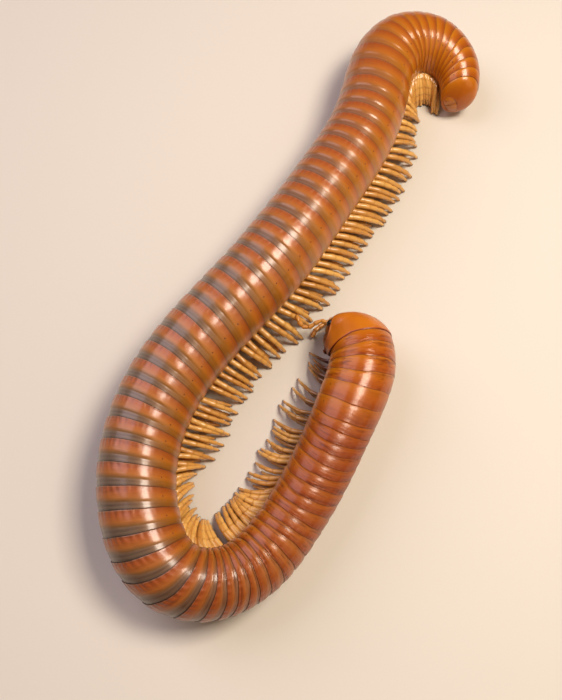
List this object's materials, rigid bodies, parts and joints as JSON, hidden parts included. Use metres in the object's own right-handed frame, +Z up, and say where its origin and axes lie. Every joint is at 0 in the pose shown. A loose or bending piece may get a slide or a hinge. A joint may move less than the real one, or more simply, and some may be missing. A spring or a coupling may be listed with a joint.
{
  "type": "giant millipede (spirostreptus)",
  "caption": "Life-size still model of a giant orange-brown millipede lying half curled on its feet, with its ringed body, legs, antennae and tail valves.",
  "frame": {"origin": "centre of the bounding box on the floor that the feet stand on", "axes": "+Z up, +Y along the long straight part of the body towards the tail end, +X towards the arm of the curl that carries the head"},
  "size_m": [0.0632, 0.1051, 0.0142],
  "materials": {
    "ring_shell": "glossy",
    "collum_shell": "glossy",
    "head_shell": "glossy",
    "eye": "glossy",
    "antenna": "satin",
    "jaw": "glossy",
    "tail_shell": "glossy"
  },
  "bodies": {
    "root": {"head": "head_shell", "eye_left": "eye", "eye_right": "eye", "antenna_left": "antenna", "antenna_right": "antenna", "jaw_left": "jaw", "jaw_right": "jaw", "chin_plate": "jaw", "collum": "collum_shell", "trunk_01": "ring_shell", "trunk_02": "ring_shell", "trunk_03": "ring_shell", "trunk_04": "ring_shell", "trunk_05": "ring_shell", "trunk_06": "ring_shell", "trunk_07": "ring_shell", "trunk_08": "ring_shell", "trunk_09": "ring_shell", "trunk_10": "ring_shell", "trunk_11": "ring_shell", "trunk_12": "ring_shell", "trunk_13": "ring_shell", "trunk_14": "ring_shell", "tail_ring": "tail_shell", "tail_valve_left": "tail_shell", "tail_valve_right": "tail_shell"}
  },
  "joints": []
}
